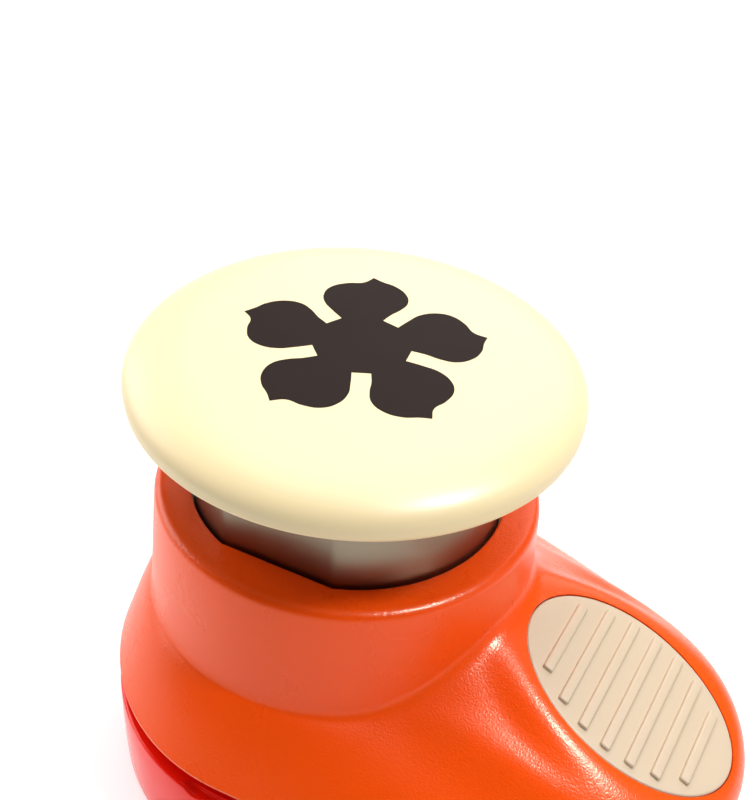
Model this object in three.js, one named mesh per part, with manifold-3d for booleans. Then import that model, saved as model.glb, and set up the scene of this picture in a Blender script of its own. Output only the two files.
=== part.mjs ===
// Craft punch: a push-button paper punch with a flower-shaped cutter.
// Millimetres, +Z up. The base stands on z = 0 and +X points to the thumb rest.
// Pieces are drawn about the punch axis; the last group moves the body's middle to x = 0.
import * as THREE from "three";
import { mergeVertices } from "three/addons/utils/BufferGeometryUtils.js";
import Module from "manifold-3d";

const wasm = await Module();
wasm.setup();

// Body plan, measured from the punch axis
const FRONT_REACH = 25.2;
const TAIL_REACH = 50.8;
const HALF_WIDTH = 28.3;
const TAIL_POWER = 2.3;
const TAIL_SPREAD = THREE.MathUtils.degToRad(40);
const TAIL_FALL = 2.9;
const WALL = 2.2;
const GAP = 0.3;

// Levels from the table upwards
const DECK_Z = 11.2;
const DIE_THICK = 3;
const SLOT_HEIGHT = 2.6;
const GUIDE_Z = 13.2;
const GUIDE_THICK = 3;
const EDGE_Z = 14.1;
const EDGE_TAIL_Z = 13.2;
const CREASE_Z = 22.8;
const RIDGE_Z = 29.8;
const COLLAR_TOP = 37.5;
const BUTTON_Z = 50.1;
const TOTAL_HEIGHT = 56;
const SLOT_END_X = 24;

// Collar, plunger and button
const COLLAR_R = 21.8;
const COLLAR_FLARE = 0.5;
const COLLAR_LIP = 2.2;
const PLUNGER_R = 17.42;
const PLUNGER_FLAT = 16.11;
const PLUNGER_BORE = 14.8;
const PLUNGER_TOP = 51.2;
const PLATE_THICK = 3;
const FLANGE_R = 19.1;
const FLANGE_THICK = 2.3;
const BUTTON_R = 25;
const BUTTON_SKIN = 2.7;
const BUTTON_WAIST = 1.65;
const DOME_R = 16.9;
const DOME_DROP = 0.5;

// Cutter and spring
const PUNCH_END_Z = 14.2;
const PUNCH_HEAD_TOP = 30;
const PUNCH_SHANK_R = 8;
const SPRING_R = 16.6;
const SPRING_WIRE = 1.2;
const SPRING_TURNS = 4;
const WASHER_THICK = 0.8;
const FIRST_PETAL = THREE.MathUtils.degToRad(108);
const PETALS = 5;

// Thumb pad: an oval set into the sloping tail
const PAD_X = 36.5;
const PAD_Z = 22.72;
const PAD_TILT = THREE.MathUtils.degToRad(25.6);
const PAD_LENGTH = 14;
const PAD_WIDTH = 10.25;
const PAD_THICK = 1.2;
const PAD_FLUSH = 1.05;
const PAD_FADE = 1.45;
const RIB_COUNT = 7;
const RIB_PITCH = 3.16;
const RIB_WIDTH = 1.2;
const RIB_HEIGHT = 0.45;

// Screws
const SCREW_R = 1.3;
const SCREW_HEAD_R = 2.2;
const SCREW_HEAD = 1.5;
const SCREW_HOLE_R = SCREW_R + GAP;
const DRIVE_WIDTH = 0.7;
const DRIVE_DEPTH = 0.6;
const ROUND = 20;
const BODY_SEGMENTS = 60;

const GUIDE_TOP = GUIDE_Z + GUIDE_THICK;
const DIE_Z = DECK_Z - DIE_THICK;
const SLOT_TOP = DECK_Z + SLOT_HEIGHT;
const SKIRT_Z = DECK_Z + GAP;
const PLATE_Z = PLUNGER_TOP - PLATE_THICK;
const FLANGE_TOP = COLLAR_TOP - COLLAR_LIP - GAP;

// ---- geometry helpers ----

function signedVolume(position, index) {
  const [a, b, c] = [new THREE.Vector3(), new THREE.Vector3(), new THREE.Vector3()];
  let sum = 0;
  for (let i = 0; i < index.length; i += 3) {
    a.fromArray(position, index[i] * 3);
    b.fromArray(position, index[i + 1] * 3);
    c.fromArray(position, index[i + 2] * 3);
    sum += a.dot(b.cross(c)) / 6;
  }
  return sum;
}

// A closed geometry as a solid for cutting and joining, with its faces turned outwards.
function solid(geometry) {
  const bare = geometry.clone();
  bare.deleteAttribute("normal");
  bare.deleteAttribute("uv");
  const merged = mergeVertices(bare, 1e-4);
  const position = merged.attributes.position.array;
  const index = [];
  for (let i = 0; i < merged.index.count; i += 3) {
    const [a, b, c] = [0, 1, 2].map((k) => merged.index.array[i + k]);
    if (a !== b && b !== c && c !== a) index.push(a, b, c);
  }
  const triVerts = new Uint32Array(signedVolume(position, index) < 0 ? index.reverse() : index);
  return new wasm.Manifold(new wasm.Mesh({ numProp: 3, vertProperties: position, triVerts }));
}

function geometryOf(body) {
  const mesh = body.getMesh();
  const geometry = new THREE.BufferGeometry();
  geometry.setAttribute("position", new THREE.BufferAttribute(mesh.vertProperties, 3));
  geometry.setIndex(new THREE.BufferAttribute(mesh.triVerts, 1));
  geometry.computeVertexNormals();
  return geometry;
}

function cutAll(body, tools) {
  return tools.reduce((left, tool) => left.subtract(tool), body);
}

function joinAll(body, extras) {
  return extras.reduce((left, extra) => left.add(extra), body);
}

// A turned solid about a vertical axis; profile is a list of [radius, height].
function turned(profile, segments = ROUND) {
  const points = profile.map(([r, z]) => new THREE.Vector2(r, z));
  return new THREE.LatheGeometry(points, segments).rotateX(Math.PI / 2);
}

function post(x, y, low, high, radius, segments = ROUND) {
  const cylinder = new THREE.CylinderGeometry(radius, radius, high - low, segments);
  return solid(cylinder.rotateX(Math.PI / 2).translate(x, y, (low + high) / 2));
}

function block(low, high) {
  const size = high.map((value, i) => value - low[i]);
  const middle = high.map((value, i) => (value + low[i]) / 2);
  return solid(new THREE.BoxGeometry(...size).translate(...middle));
}

function slab(shape, low, high) {
  const options = { depth: high - low, bevelEnabled: false, curveSegments: ROUND / 2 };
  return solid(new THREE.ExtrudeGeometry(shape, options).translate(0, 0, low));
}

// A lathe whose rings follow any closed plan: each ring is a function of the angle.
function ringSolid(rings, segments) {
  const profile = rings.map((_, j) => new THREE.Vector2(1, j));
  const geometry = new THREE.LatheGeometry(profile, segments);
  const position = geometry.attributes.position;
  for (let i = 0; i <= segments; i++) {
    const angle = ((i % segments) / segments) * 2 * Math.PI;
    rings.forEach((ring, j) => position.setXYZ(i * rings.length + j, ...ring(angle)));
  }
  return geometry;
}

const pole = (z) => () => [0, 0, z];
const circleRing = (radius, z) => (angle) => [radius * Math.cos(angle), radius * Math.sin(angle), z];
const flattedRing = (radius, flat, z) => (angle) => [
  radius * Math.cos(angle),
  THREE.MathUtils.clamp(radius * Math.sin(angle), -flat, flat),
  z,
];

// ---- body form ----

// 1 along the ridge of the tail, falling smoothly to 0 at the sides and the front.
function tailShare(angle) {
  const away = Math.abs(Math.atan2(Math.sin(angle), Math.cos(angle)));
  return Math.exp(-((away / TAIL_SPREAD) ** TAIL_FALL));
}

// Point of the body's plan outline: half an ellipse in front, a fuller curve to the tail.
function outline(angle, inset) {
  const c = Math.cos(angle);
  const x = c < 0 ? (FRONT_REACH - inset) * c : (TAIL_REACH - inset) * c ** (2 / TAIL_POWER);
  return [x, (HALF_WIDTH - inset) * Math.sin(angle)];
}

const outlineRing = (inset, z) => (angle) => [...outline(angle, inset), z];

function creaseHeight(angle) {
  return CREASE_Z + (RIDGE_Z - CREASE_Z) * tailShare(angle);
}

function collarRadius(z) {
  return COLLAR_R + (COLLAR_FLARE * (COLLAR_TOP - z)) / (COLLAR_TOP - CREASE_Z);
}

// How far the skin rises beside the thumb pad, so that the pad's face lies flush in it. The rise
// fades out away from the pad and towards the edge of the tail.
function padRise(x, y, z, f) {
  const along = (x - PAD_X) / (PAD_LENGTH * Math.cos(PAD_TILT));
  const reach = Math.hypot(along, y / PAD_WIDTH);
  const share = (1 - THREE.MathUtils.smoothstep(reach, PAD_FLUSH, PAD_FADE)) * (1 - f ** 8);
  const missing = PAD_Z - (x - PAD_X) * Math.tan(PAD_TILT) - z;
  return share * Math.max(0, missing);
}

// Ring of the body's skin: f runs from 0 at the collar to 1 at the widest edge. The sides fall
// like a bell, and the ridge of the tail runs straight down to a tight edge. A form says how
// hollow the bell is, how thick the skin is and where its edge lies.
function skinRing(f, form) {
  return (angle) => {
    const tail = tailShare(angle);
    const crease = creaseHeight(angle);
    const r = collarRadius(crease) - form.inset;
    const [edgeX, edgeY] = outline(angle, form.inset);
    const edgeZ = THREE.MathUtils.lerp(form.sideEdge, form.tailEdge, tail);
    const slope = Math.tan(PAD_TILT) * (TAIL_REACH - collarRadius(RIDGE_Z)) * tail;
    const top = crease - THREE.MathUtils.lerp(form.sideSkin, form.tailSkin, tail) - slope * f;
    const shoulder = THREE.MathUtils.lerp(form.shoulder, RIDGE_SHOULDER, tail ** 3);
    const hollow = THREE.MathUtils.lerp(form.hollow, RIDGE_HOLLOW, Math.sqrt(tail));
    const fall = (1 - f ** shoulder) ** hollow;
    const x = r * Math.cos(angle) * (1 - f) + edgeX * f;
    const y = r * Math.sin(angle) * (1 - f) + edgeY * f;
    const z = edgeZ + (top - edgeZ) * fall;
    return [x, y, z + (form.padFlush ? padRise(x, y, z, f) : 0)];
  };
}

const RIDGE_SHOULDER = 40;
const RIDGE_HOLLOW = 0.5;
const OUTER_FORM = {
  inset: 0, sideEdge: EDGE_Z, tailEdge: EDGE_TAIL_Z, sideSkin: 0, tailSkin: 0, shoulder: 1.3, hollow: 1.05,
  padFlush: true,
};
const INNER_FORM = {
  inset: WALL, sideEdge: SKIRT_Z + 0.2, tailEdge: SKIRT_Z + 0.2, sideSkin: WALL, tailSkin: 3, shoulder: 2.5,
  hollow: 0.55, padFlush: false,
};
const outerSkin = (f) => skinRing(f, OUTER_FORM);
const innerSkin = (f) => skinRing(f, INNER_FORM);

// A point in the pad's own plane: u down the slope, v across, w out of it.
function onPad(geometry) {
  return geometry.rotateY(PAD_TILT).translate(PAD_X, 0, PAD_Z);
}

// ---- flower ----

// One side of a petal as [distance along the petal, half width], neck to tip.
function petalSide() {
  const side = new THREE.Path();
  side.moveTo(4.76, 2.12);
  side.bezierCurveTo(6.1, 3.9, 7.4, 4.75, 9.1, 4.7);
  side.bezierCurveTo(11.6, 4.6, 12.4, 2.6, 12.9, 1);
  side.lineTo(13.8, 0.12);
  return side.getPoints(3);
}

function flowerOutline() {
  const side = petalSide();
  const petal = [...side.map((p) => [p.x, -p.y]), ...side.reverse().map((p) => [p.x, p.y])];
  const points = [];
  for (let k = 0; k < PETALS; k++) {
    const turn = FIRST_PETAL + (k * 2 * Math.PI) / PETALS;
    for (const [x, y] of petal) {
      points.push(new THREE.Vector2(x, y).rotateAround(new THREE.Vector2(), turn));
    }
  }
  return points;
}

// Moves every edge of an outline outwards by the same distance.
function grown(points, distance) {
  return points.map((point, i) => {
    const before = points[(i + points.length - 1) % points.length];
    const after = points[(i + 1) % points.length];
    const n1 = new THREE.Vector2(point.y - before.y, before.x - point.x).normalize();
    const n2 = new THREE.Vector2(after.y - point.y, point.x - after.x).normalize();
    const reach = distance / (1 + n1.dot(n2));
    return point.clone().add(n1.add(n2).multiplyScalar(reach));
  });
}

const flowerShape = (clearance) => new THREE.Shape(grown(flowerOutline(), clearance));

// ---- button and plunger ----

function buttonProfile() {
  const waistZ = BUTTON_Z + BUTTON_WAIST;
  const rise = TOTAL_HEIGHT - DOME_DROP - waistZ;
  const profile = [0, 0.4, 0.75].map((s) => [DOME_R * s, TOTAL_HEIGHT - DOME_DROP * s * s]);
  for (let step = 0; step <= 5; step++) {
    const turn = (step / 5) * (Math.PI / 2);
    profile.push([DOME_R + (BUTTON_R - DOME_R) * Math.sin(turn), waistZ + rise * Math.cos(turn)]);
  }
  const ceiling = TOTAL_HEIGHT - BUTTON_SKIN;
  const socketR = PLUNGER_R + GAP;
  profile.push([BUTTON_R - 0.1, BUTTON_Z + 0.6], [BUTTON_R - 0.6, BUTTON_Z]);
  profile.push([23.2, BUTTON_Z], [22.8, BUTTON_Z + 1.9], [21.8, BUTTON_Z + 2.5]);
  profile.push([socketR + 1.6, BUTTON_Z + 2.7], [socketR + 1.4, BUTTON_Z + 0.3]);
  profile.push([socketR, BUTTON_Z + 0.3], [socketR, ceiling], [0, ceiling]);
  return profile.reverse();
}

const BUTTON_SCREWS = [0, 144, 216].map((degrees) => {
  const angle = THREE.MathUtils.degToRad(degrees);
  return [11.2 * Math.cos(angle), 11.2 * Math.sin(angle)];
});
const PUNCH_SCREWS = [
  [-4.5, 0],
  [4.5, 0],
];
const BUTTON_SCREW_TIP = 54;
const PUNCH_SCREW_TIP = 39;

function buttonCap() {
  const ceiling = TOTAL_HEIGHT - BUTTON_SKIN;
  const cap = solid(turned(buttonProfile(), 48));
  const bosses = BUTTON_SCREWS.map(([x, y]) => post(x, y, PLUNGER_TOP + GAP, ceiling + 0.5, 3, 16));
  const holes = BUTTON_SCREWS.map(([x, y]) => {
    return post(x, y, PLUNGER_TOP, BUTTON_SCREW_TIP + GAP, SCREW_HOLE_R, 8);
  });
  return geometryOf(cutAll(joinAll(cap, bosses), holes));
}

function plunger() {
  const flangeZ = FLANGE_TOP - FLANGE_THICK;
  const body = solid(ringSolid([
    pole(PLUNGER_TOP),
    flattedRing(PLUNGER_R - 0.4, PLUNGER_FLAT - 0.4, PLUNGER_TOP),
    flattedRing(PLUNGER_R, PLUNGER_FLAT, PLUNGER_TOP - 0.4),
    flattedRing(PLUNGER_R, PLUNGER_FLAT, FLANGE_TOP),
    circleRing(FLANGE_R, FLANGE_TOP),
    circleRing(FLANGE_R, flangeZ),
    circleRing(PLUNGER_BORE, flangeZ),
    circleRing(PLUNGER_BORE, PLATE_Z),
    pole(PLATE_Z),
  ], BODY_SEGMENTS));
  const holes = [...BUTTON_SCREWS, ...PUNCH_SCREWS].map(([x, y]) => {
    return post(x, y, PLATE_Z - 1, PLUNGER_TOP + 1, SCREW_HOLE_R, 8);
  });
  return geometryOf(cutAll(body, holes));
}

// ---- cutter, spring and plates ----

function malePunch() {
  const head = slab(flowerShape(0), PUNCH_END_Z, PUNCH_HEAD_TOP);
  const shank = post(0, 0, PUNCH_HEAD_TOP - 1, PLATE_Z - GAP, PUNCH_SHANK_R);
  const holes = PUNCH_SCREWS.map(([x, y]) => {
    return post(x, y, PUNCH_SCREW_TIP - GAP, PLATE_Z, SCREW_HOLE_R, 12);
  });
  return geometryOf(cutAll(head.add(shank), holes));
}

// Wire path of the return spring; its end turns lie flat.
class SpringPath extends THREE.Curve {
  constructor(low, high) {
    super();
    this.low = low;
    this.high = high;
  }

  getPoint(t, target = new THREE.Vector3()) {
    const turn = t * SPRING_TURNS * 2 * Math.PI;
    const rise = THREE.MathUtils.smootherstep(t, 0.05, 0.95);
    const z = this.low + (this.high - this.low) * (0.15 * t + 0.85 * rise);
    return target.set(SPRING_R * Math.cos(turn), SPRING_R * Math.sin(turn), z);
  }
}

const WASHER_Z = GUIDE_TOP + GAP;
const SPRING_LOW = WASHER_Z + WASHER_THICK + GAP;
const SPRING_HIGH = FLANGE_TOP - FLANGE_THICK - GAP;

function returnSpring() {
  const wire = new THREE.Shape().absarc(0, 0, SPRING_WIRE / 2, 0, 2 * Math.PI);
  const path = new SpringPath(SPRING_LOW + SPRING_WIRE / 2, SPRING_HIGH - SPRING_WIRE / 2);
  const options = { steps: SPRING_TURNS * 16, curveSegments: 3, bevelEnabled: false, extrudePath: path };
  return new THREE.ExtrudeGeometry(wire, options);
}

function springWasher() {
  const [inner, outer, top] = [15.2, 17.5, WASHER_Z + WASHER_THICK];
  const profile = [[inner, WASHER_Z], [outer, WASHER_Z], [outer, top], [inner, top], [inner, WASHER_Z]];
  return turned(profile, 36);
}

// Plan of the die and guide plates: a disc with a tongue towards the tail.
function plateShape(radius, tongueX, tongueHalf) {
  const start = Math.asin(tongueHalf / radius);
  const shape = new THREE.Shape();
  shape.absarc(0, 0, radius, start, 2 * Math.PI - start);
  shape.lineTo(tongueX - 2, -tongueHalf);
  shape.absarc(tongueX - 2, -tongueHalf + 2, 2, -Math.PI / 2, 0);
  shape.absarc(tongueX - 2, tongueHalf - 2, 2, 0, Math.PI / 2);
  return shape;
}

const PLATE_R = 22.5;
const TONGUE_X = 31;
const TONGUE_HALF = 12.5;
const REAR_SCREWS = [
  [27.5, -8.5],
  [27.5, 8.5],
];
const DIE_SCREWS = [
  [-14.9, -12.5],
  [-14.9, 12.5],
];
const GUIDE_SCREWS = [
  [-15.2, -12.85],
  [-15.2, 12.85],
];

// Upright cylinders at several places, for screw holes, bosses and posts.
function roundsAt(places, low, high, radius = SCREW_HOLE_R) {
  return places.map(([x, y]) => post(x, y, low, high, radius, 10));
}

// Countersinks for flat-headed screws; the wide end is at wideZ.
function sinks(places, wideZ, side) {
  return places.map(([x, y]) => {
    const depth = SCREW_HEAD + 0.1;
    const wide = SCREW_HEAD_R + GAP;
    const radii = side > 0 ? [wide, SCREW_HOLE_R] : [SCREW_HOLE_R, wide];
    const cone = new THREE.CylinderGeometry(...radii, depth, 16).rotateX(Math.PI / 2);
    return solid(cone.translate(x, y, wideZ - (side * depth) / 2));
  });
}

function guidePlate() {
  const plate = slab(plateShape(PLATE_R, TONGUE_X, TONGUE_HALF), GUIDE_Z, GUIDE_TOP);
  const flower = slab(flowerShape(GAP), GUIDE_Z - 1, GUIDE_TOP + 1);
  const holes = roundsAt([...REAR_SCREWS, ...GUIDE_SCREWS], GUIDE_Z - 1, GUIDE_TOP + 1);
  return geometryOf(cutAll(plate, [flower, ...holes, ...sinks(GUIDE_SCREWS, GUIDE_Z, -1)]));
}

function diePlate() {
  const plate = slab(plateShape(PLATE_R, TONGUE_X, TONGUE_HALF), DIE_Z, DECK_Z);
  const flower = slab(flowerShape(GAP), DIE_Z - 1, DECK_Z + 1);
  const holes = roundsAt([...REAR_SCREWS, ...DIE_SCREWS], DIE_Z - 1, DECK_Z + 1);
  return geometryOf(cutAll(plate, [flower, ...holes, ...sinks(DIE_SCREWS, DECK_Z, 1)]));
}

// The bar that ends the paper slot and spaces the two plates.
function paperStop() {
  const bar = block([SLOT_END_X, -TONGUE_HALF, DECK_Z + GAP], [TONGUE_X - 0.5, TONGUE_HALF, GUIDE_Z - GAP]);
  return geometryOf(cutAll(bar, roundsAt(REAR_SCREWS, DECK_Z, GUIDE_Z)));
}

// ---- housings ----

const HOUSING_SCREWS = [
  [37, -12],
  [37, 12],
];
const GUIDE_SCREW_TIP = CREASE_Z - 3;
const PAD_PEGS = [-7, 7];
const PEG_R = 1.5;
const PEG_LENGTH = 4;
const CHUTE_R = 15.6;
const CHUTE_WALL = 1.6;
const BASE_ROOF = 2.6;
const BASE_WALL_TOP = 2.6;
const BASE_WALL_FOOT = 4.6;
const SEAT_RIM = 1.6;
const SEAT_FLOOR = 2;
const BOSS_R = 3.2;

// Places of the skin's rings, drawn together towards the edge.
function skinSteps(count) {
  return Array.from({ length: count }, (_, i) => Math.sin(((i + 1) / count) * (Math.PI / 2)));
}

function housingShell() {
  const lipZ = COLLAR_TOP - COLLAR_LIP;
  const holeR = PLUNGER_R + GAP;
  const flat = PLUNGER_FLAT + GAP;
  const creaseRing = (inset, skin) => (angle) => {
    const z = creaseHeight(angle);
    const r = collarRadius(z) - inset;
    return [r * Math.cos(angle), r * Math.sin(angle), z + 0.5 - skin];
  };
  const rings = [
    flattedRing(holeR, flat, COLLAR_TOP),
    circleRing(COLLAR_R - 1, COLLAR_TOP),
    circleRing(COLLAR_R - 0.3, COLLAR_TOP - 0.3),
    circleRing(COLLAR_R, COLLAR_TOP - 1),
    creaseRing(0, 0),
    outerSkin(0.04),
    ...skinSteps(9).map(outerSkin),
    outlineRing(0.3, SKIRT_Z),
    outlineRing(WALL, SKIRT_Z),
    ...skinSteps(5).reverse().map(innerSkin),
    creaseRing(WALL, 2.4),
    circleRing(COLLAR_R - WALL, lipZ),
    flattedRing(holeR, flat, lipZ),
    flattedRing(holeR, flat, COLLAR_TOP),
  ];
  return solid(ringSolid(rings, BODY_SEGMENTS));
}

function padOutline(grow) {
  return new THREE.Shape().absellipse(0, 0, PAD_LENGTH + grow, PAD_WIDTH + grow, 0, 2 * Math.PI);
}

function onPadSolid(shape, low, high) {
  const options = { depth: high - low, bevelEnabled: false, curveSegments: 20 };
  return solid(onPad(new THREE.ExtrudeGeometry(shape, options).translate(0, 0, low)));
}

function padPeg(u, radius, low) {
  const peg = new THREE.CylinderGeometry(radius, radius, -low, 16).rotateX(Math.PI / 2);
  return solid(onPad(peg.translate(u, 0, low / 2)));
}

function thumbPad() {
  const plate = onPadSolid(padOutline(0), -PAD_THICK, 0);
  const ribs = [];
  for (let i = 0; i < RIB_COUNT; i++) {
    const u = (i - (RIB_COUNT - 1) / 2) * RIB_PITCH;
    const half = 9.2 * Math.sqrt(1 - (u / 12) ** 2);
    const rib = new THREE.BoxGeometry(RIB_WIDTH, 2 * half, RIB_HEIGHT + 0.3);
    ribs.push(solid(onPad(rib.translate(u, 0, RIB_HEIGHT / 2 - 0.15))));
  }
  const pegs = PAD_PEGS.map((u) => padPeg(u, PEG_R, -PAD_THICK - PEG_LENGTH));
  return geometryOf(joinAll(plate, [...ribs, ...pegs]));
}

function upperHousing() {
  const postTops = 18;
  const frontPosts = roundsAt(GUIDE_SCREWS, GUIDE_TOP + GAP, CREASE_Z - 1.5, 2.2);
  const tailPosts = HOUSING_SCREWS.map(([x, y]) => post(x, y, SKIRT_Z, postTops, 3, 16));
  const slot = block([-40, -40, 10], [SLOT_END_X, 40, SLOT_TOP]);
  const recess = onPadSolid(padOutline(GAP), -PAD_THICK - GAP, 12);
  const pegHoles = PAD_PEGS.map((u) => padPeg(u, PEG_R + GAP, -PAD_THICK - 8));
  const screwHoles = [
    ...roundsAt(HOUSING_SCREWS, SKIRT_Z - 1, postTops - 1.5),
    ...roundsAt(GUIDE_SCREWS, GUIDE_TOP, GUIDE_SCREW_TIP + GAP),
  ];
  const shell = joinAll(housingShell(), [...frontPosts, ...tailPosts]);
  return geometryOf(cutAll(shell, [slot, recess, ...pegHoles, ...screwHoles]));
}

function baseHousing() {
  const shell = solid(ringSolid([
    pole(0),
    outlineRing(1.2, 0),
    outlineRing(0.6, 0.6),
    outlineRing(0, DECK_Z - 0.8),
    outlineRing(0.7, DECK_Z),
    pole(DECK_Z),
  ], BODY_SEGMENTS));
  const hollow = solid(ringSolid([
    pole(-1),
    outlineRing(BASE_WALL_FOOT, -1),
    outlineRing(BASE_WALL_TOP, DECK_Z - BASE_ROOF),
    pole(DECK_Z - BASE_ROOF),
  ], BODY_SEGMENTS));
  const seatZ = DIE_Z - GAP;
  const rim = GAP + SEAT_RIM;
  const seatShape = plateShape(PLATE_R + rim, TONGUE_X + rim, TONGUE_HALF + rim);
  const seat = slab(seatShape, seatZ - SEAT_FLOOR, DECK_Z - 1);
  const pocket = slab(plateShape(PLATE_R + GAP, TONGUE_X + GAP, TONGUE_HALF + GAP), seatZ, DECK_Z + 1);
  const chuteWall = post(0, 0, 0.6, seatZ, CHUTE_R + CHUTE_WALL, 30);
  const bosses = [
    ...roundsAt([...REAR_SCREWS, ...DIE_SCREWS], 4.6, seatZ - 1, BOSS_R),
    ...roundsAt(HOUSING_SCREWS, 3, DECK_Z - 2, BOSS_R),
  ];
  const bores = [
    post(0, 0, -1, DECK_Z + 1, CHUTE_R, 30),
    ...roundsAt([...REAR_SCREWS, ...HOUSING_SCREWS], 0, DECK_Z + 1),
    ...roundsAt(DIE_SCREWS, 5.2, DECK_Z + 1),
  ];
  const body = joinAll(shell.subtract(hollow), [seat, chuteWall, ...bosses]);
  return geometryOf(cutAll(body, [pocket, ...bores]));
}

// ---- screws ----

// A pan-headed or flat-headed screw with a straight slot; side is +1 for a head on top.
function screw(x, y, headZ, tipZ, flatHead = false) {
  const side = Math.sign(headZ - tipZ);
  const neck = headZ - side * SCREW_HEAD;
  const profile = flatHead
    ? [[0, headZ], [SCREW_HEAD_R, headZ], [SCREW_R, neck], [SCREW_R, tipZ + side], [0, tipZ]]
    : [[0, headZ], [SCREW_HEAD_R - 0.4, headZ], [SCREW_HEAD_R, headZ - side * 0.5],
      [SCREW_HEAD_R, neck], [SCREW_R, neck], [SCREW_R, tipZ + side], [0, tipZ]];
  const [low, high] = [headZ + side, headZ - side * DRIVE_DEPTH].sort((a, b) => a - b);
  const slot = block([-3, -DRIVE_WIDTH / 2, low], [3, DRIVE_WIDTH / 2, high]);
  return geometryOf(solid(turned(profile, 12)).subtract(slot).translate([x, y, 0]));
}

// ---- finishes ----

const finish = (color, roughness, metalness = 0) => () => {
  return new THREE.MeshStandardMaterial({ color, roughness, metalness });
};
const creamPlastic = finish(0xf6efd2, 0.45);
const orangePlastic = finish(0xff5a1c, 0.4);
const redPlastic = finish(0xe02010, 0.3);
const padPlastic = finish(0xe9dfc4, 0.6);
const satinMetal = finish(0x9a8f88, 0.38, 1);
const cutterSteel = finish(0xb4b4b8, 0.3, 1);
const springSteel = finish(0x8c8c90, 0.35, 1);
const zincScrew = finish(0xc2c4c6, 0.35, 1);

// ---- assembly ----

function part(name, geometry, makeMaterial) {
  const mesh = new THREE.Mesh(geometry, makeMaterial());
  mesh.name = name;
  return mesh;
}

function screwSet(prefix, places, headZ, tipZ, flatHead) {
  return places.map(([x, y], i) => {
    return part(`${prefix}_${i + 1}`, screw(x, y, headZ, tipZ, flatHead), zincScrew);
  });
}

function pressGroup() {
  const group = new THREE.Group();
  group.add(part("button_cap", buttonCap(), creamPlastic));
  group.add(part("plunger", plunger(), satinMetal));
  group.add(part("male_punch", malePunch(), cutterSteel));
  group.add(...screwSet("button_screw", BUTTON_SCREWS, PLATE_Z - GAP - SCREW_HEAD, BUTTON_SCREW_TIP));
  group.add(...screwSet("punch_screw", PUNCH_SCREWS, PLUNGER_TOP + GAP + SCREW_HEAD, PUNCH_SCREW_TIP));
  return group;
}

function dieGroup() {
  const group = new THREE.Group();
  group.add(part("return_spring", returnSpring(), springSteel));
  group.add(part("spring_washer", springWasher(), zincScrew));
  group.add(part("guide_plate", guidePlate(), cutterSteel));
  group.add(part("die_plate", diePlate(), cutterSteel));
  group.add(part("paper_stop", paperStop(), zincScrew));
  group.add(...screwSet("plate_screw", REAR_SCREWS, 2.8, GUIDE_TOP - 0.5));
  group.add(...screwSet("die_screw", DIE_SCREWS, DECK_Z - 0.1, 5.8, true));
  group.add(...screwSet("guide_screw", GUIDE_SCREWS, GUIDE_Z + 0.1, GUIDE_SCREW_TIP, true));
  return group;
}

function bodyGroup() {
  const group = new THREE.Group();
  group.add(part("upper_housing", upperHousing(), orangePlastic));
  group.add(part("thumb_pad", thumbPad(), padPlastic));
  group.add(part("base_housing", baseHousing(), redPlastic));
  group.add(...screwSet("housing_screw", HOUSING_SCREWS, 1.2, 16));
  return group;
}

const group = new THREE.Group();
group.name = "craft_punch";
group.position.x = -(TAIL_REACH - FRONT_REACH) / 2;
group.add(pressGroup(), dieGroup(), bodyGroup());

export default group;
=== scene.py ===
# Craft punch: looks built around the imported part. Metres, +Z up, the base stands on z = 0.
import math

import bmesh
import bpy
from mathutils import Matrix, Vector


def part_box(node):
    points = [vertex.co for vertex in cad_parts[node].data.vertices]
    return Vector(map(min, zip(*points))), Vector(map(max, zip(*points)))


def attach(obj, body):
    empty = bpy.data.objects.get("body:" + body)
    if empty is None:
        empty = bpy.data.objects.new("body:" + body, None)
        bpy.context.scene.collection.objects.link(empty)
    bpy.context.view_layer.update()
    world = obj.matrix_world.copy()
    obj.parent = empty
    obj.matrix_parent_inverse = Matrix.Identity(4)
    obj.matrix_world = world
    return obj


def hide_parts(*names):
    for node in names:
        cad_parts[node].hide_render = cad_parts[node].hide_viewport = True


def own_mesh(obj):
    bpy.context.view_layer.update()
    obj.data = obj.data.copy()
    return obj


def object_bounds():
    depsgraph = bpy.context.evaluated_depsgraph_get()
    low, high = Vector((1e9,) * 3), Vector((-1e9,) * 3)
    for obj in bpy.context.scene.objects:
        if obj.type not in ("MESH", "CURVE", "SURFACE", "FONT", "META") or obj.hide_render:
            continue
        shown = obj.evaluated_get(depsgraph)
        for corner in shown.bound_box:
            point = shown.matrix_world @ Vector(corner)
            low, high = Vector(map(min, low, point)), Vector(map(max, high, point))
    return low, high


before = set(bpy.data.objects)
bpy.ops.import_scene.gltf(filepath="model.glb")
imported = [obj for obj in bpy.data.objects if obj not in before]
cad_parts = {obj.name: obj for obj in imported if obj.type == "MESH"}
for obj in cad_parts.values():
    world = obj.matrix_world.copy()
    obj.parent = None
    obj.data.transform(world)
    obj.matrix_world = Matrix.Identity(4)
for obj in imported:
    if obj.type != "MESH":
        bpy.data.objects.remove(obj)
cad_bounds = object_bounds()

# ---- Table, light and camera ----
# A white sheet lies under the punch, as on a product table. Soft boxes stand above it, behind it
# and on both sides, and the camera looks down over its front corner.
scene = bpy.context.scene
scene.view_settings.view_transform = "Standard"
mm = 0.001
button_low, button_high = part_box("button_cap")
axis_x = (button_low.x + button_high.x) / 2
punch_top = button_high.z


def place(x, y, z):
    """A point given in millimetres from the punch axis and the table, as a place in the frame."""
    return Vector((axis_x + x * mm, y * mm, z * mm))


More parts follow.
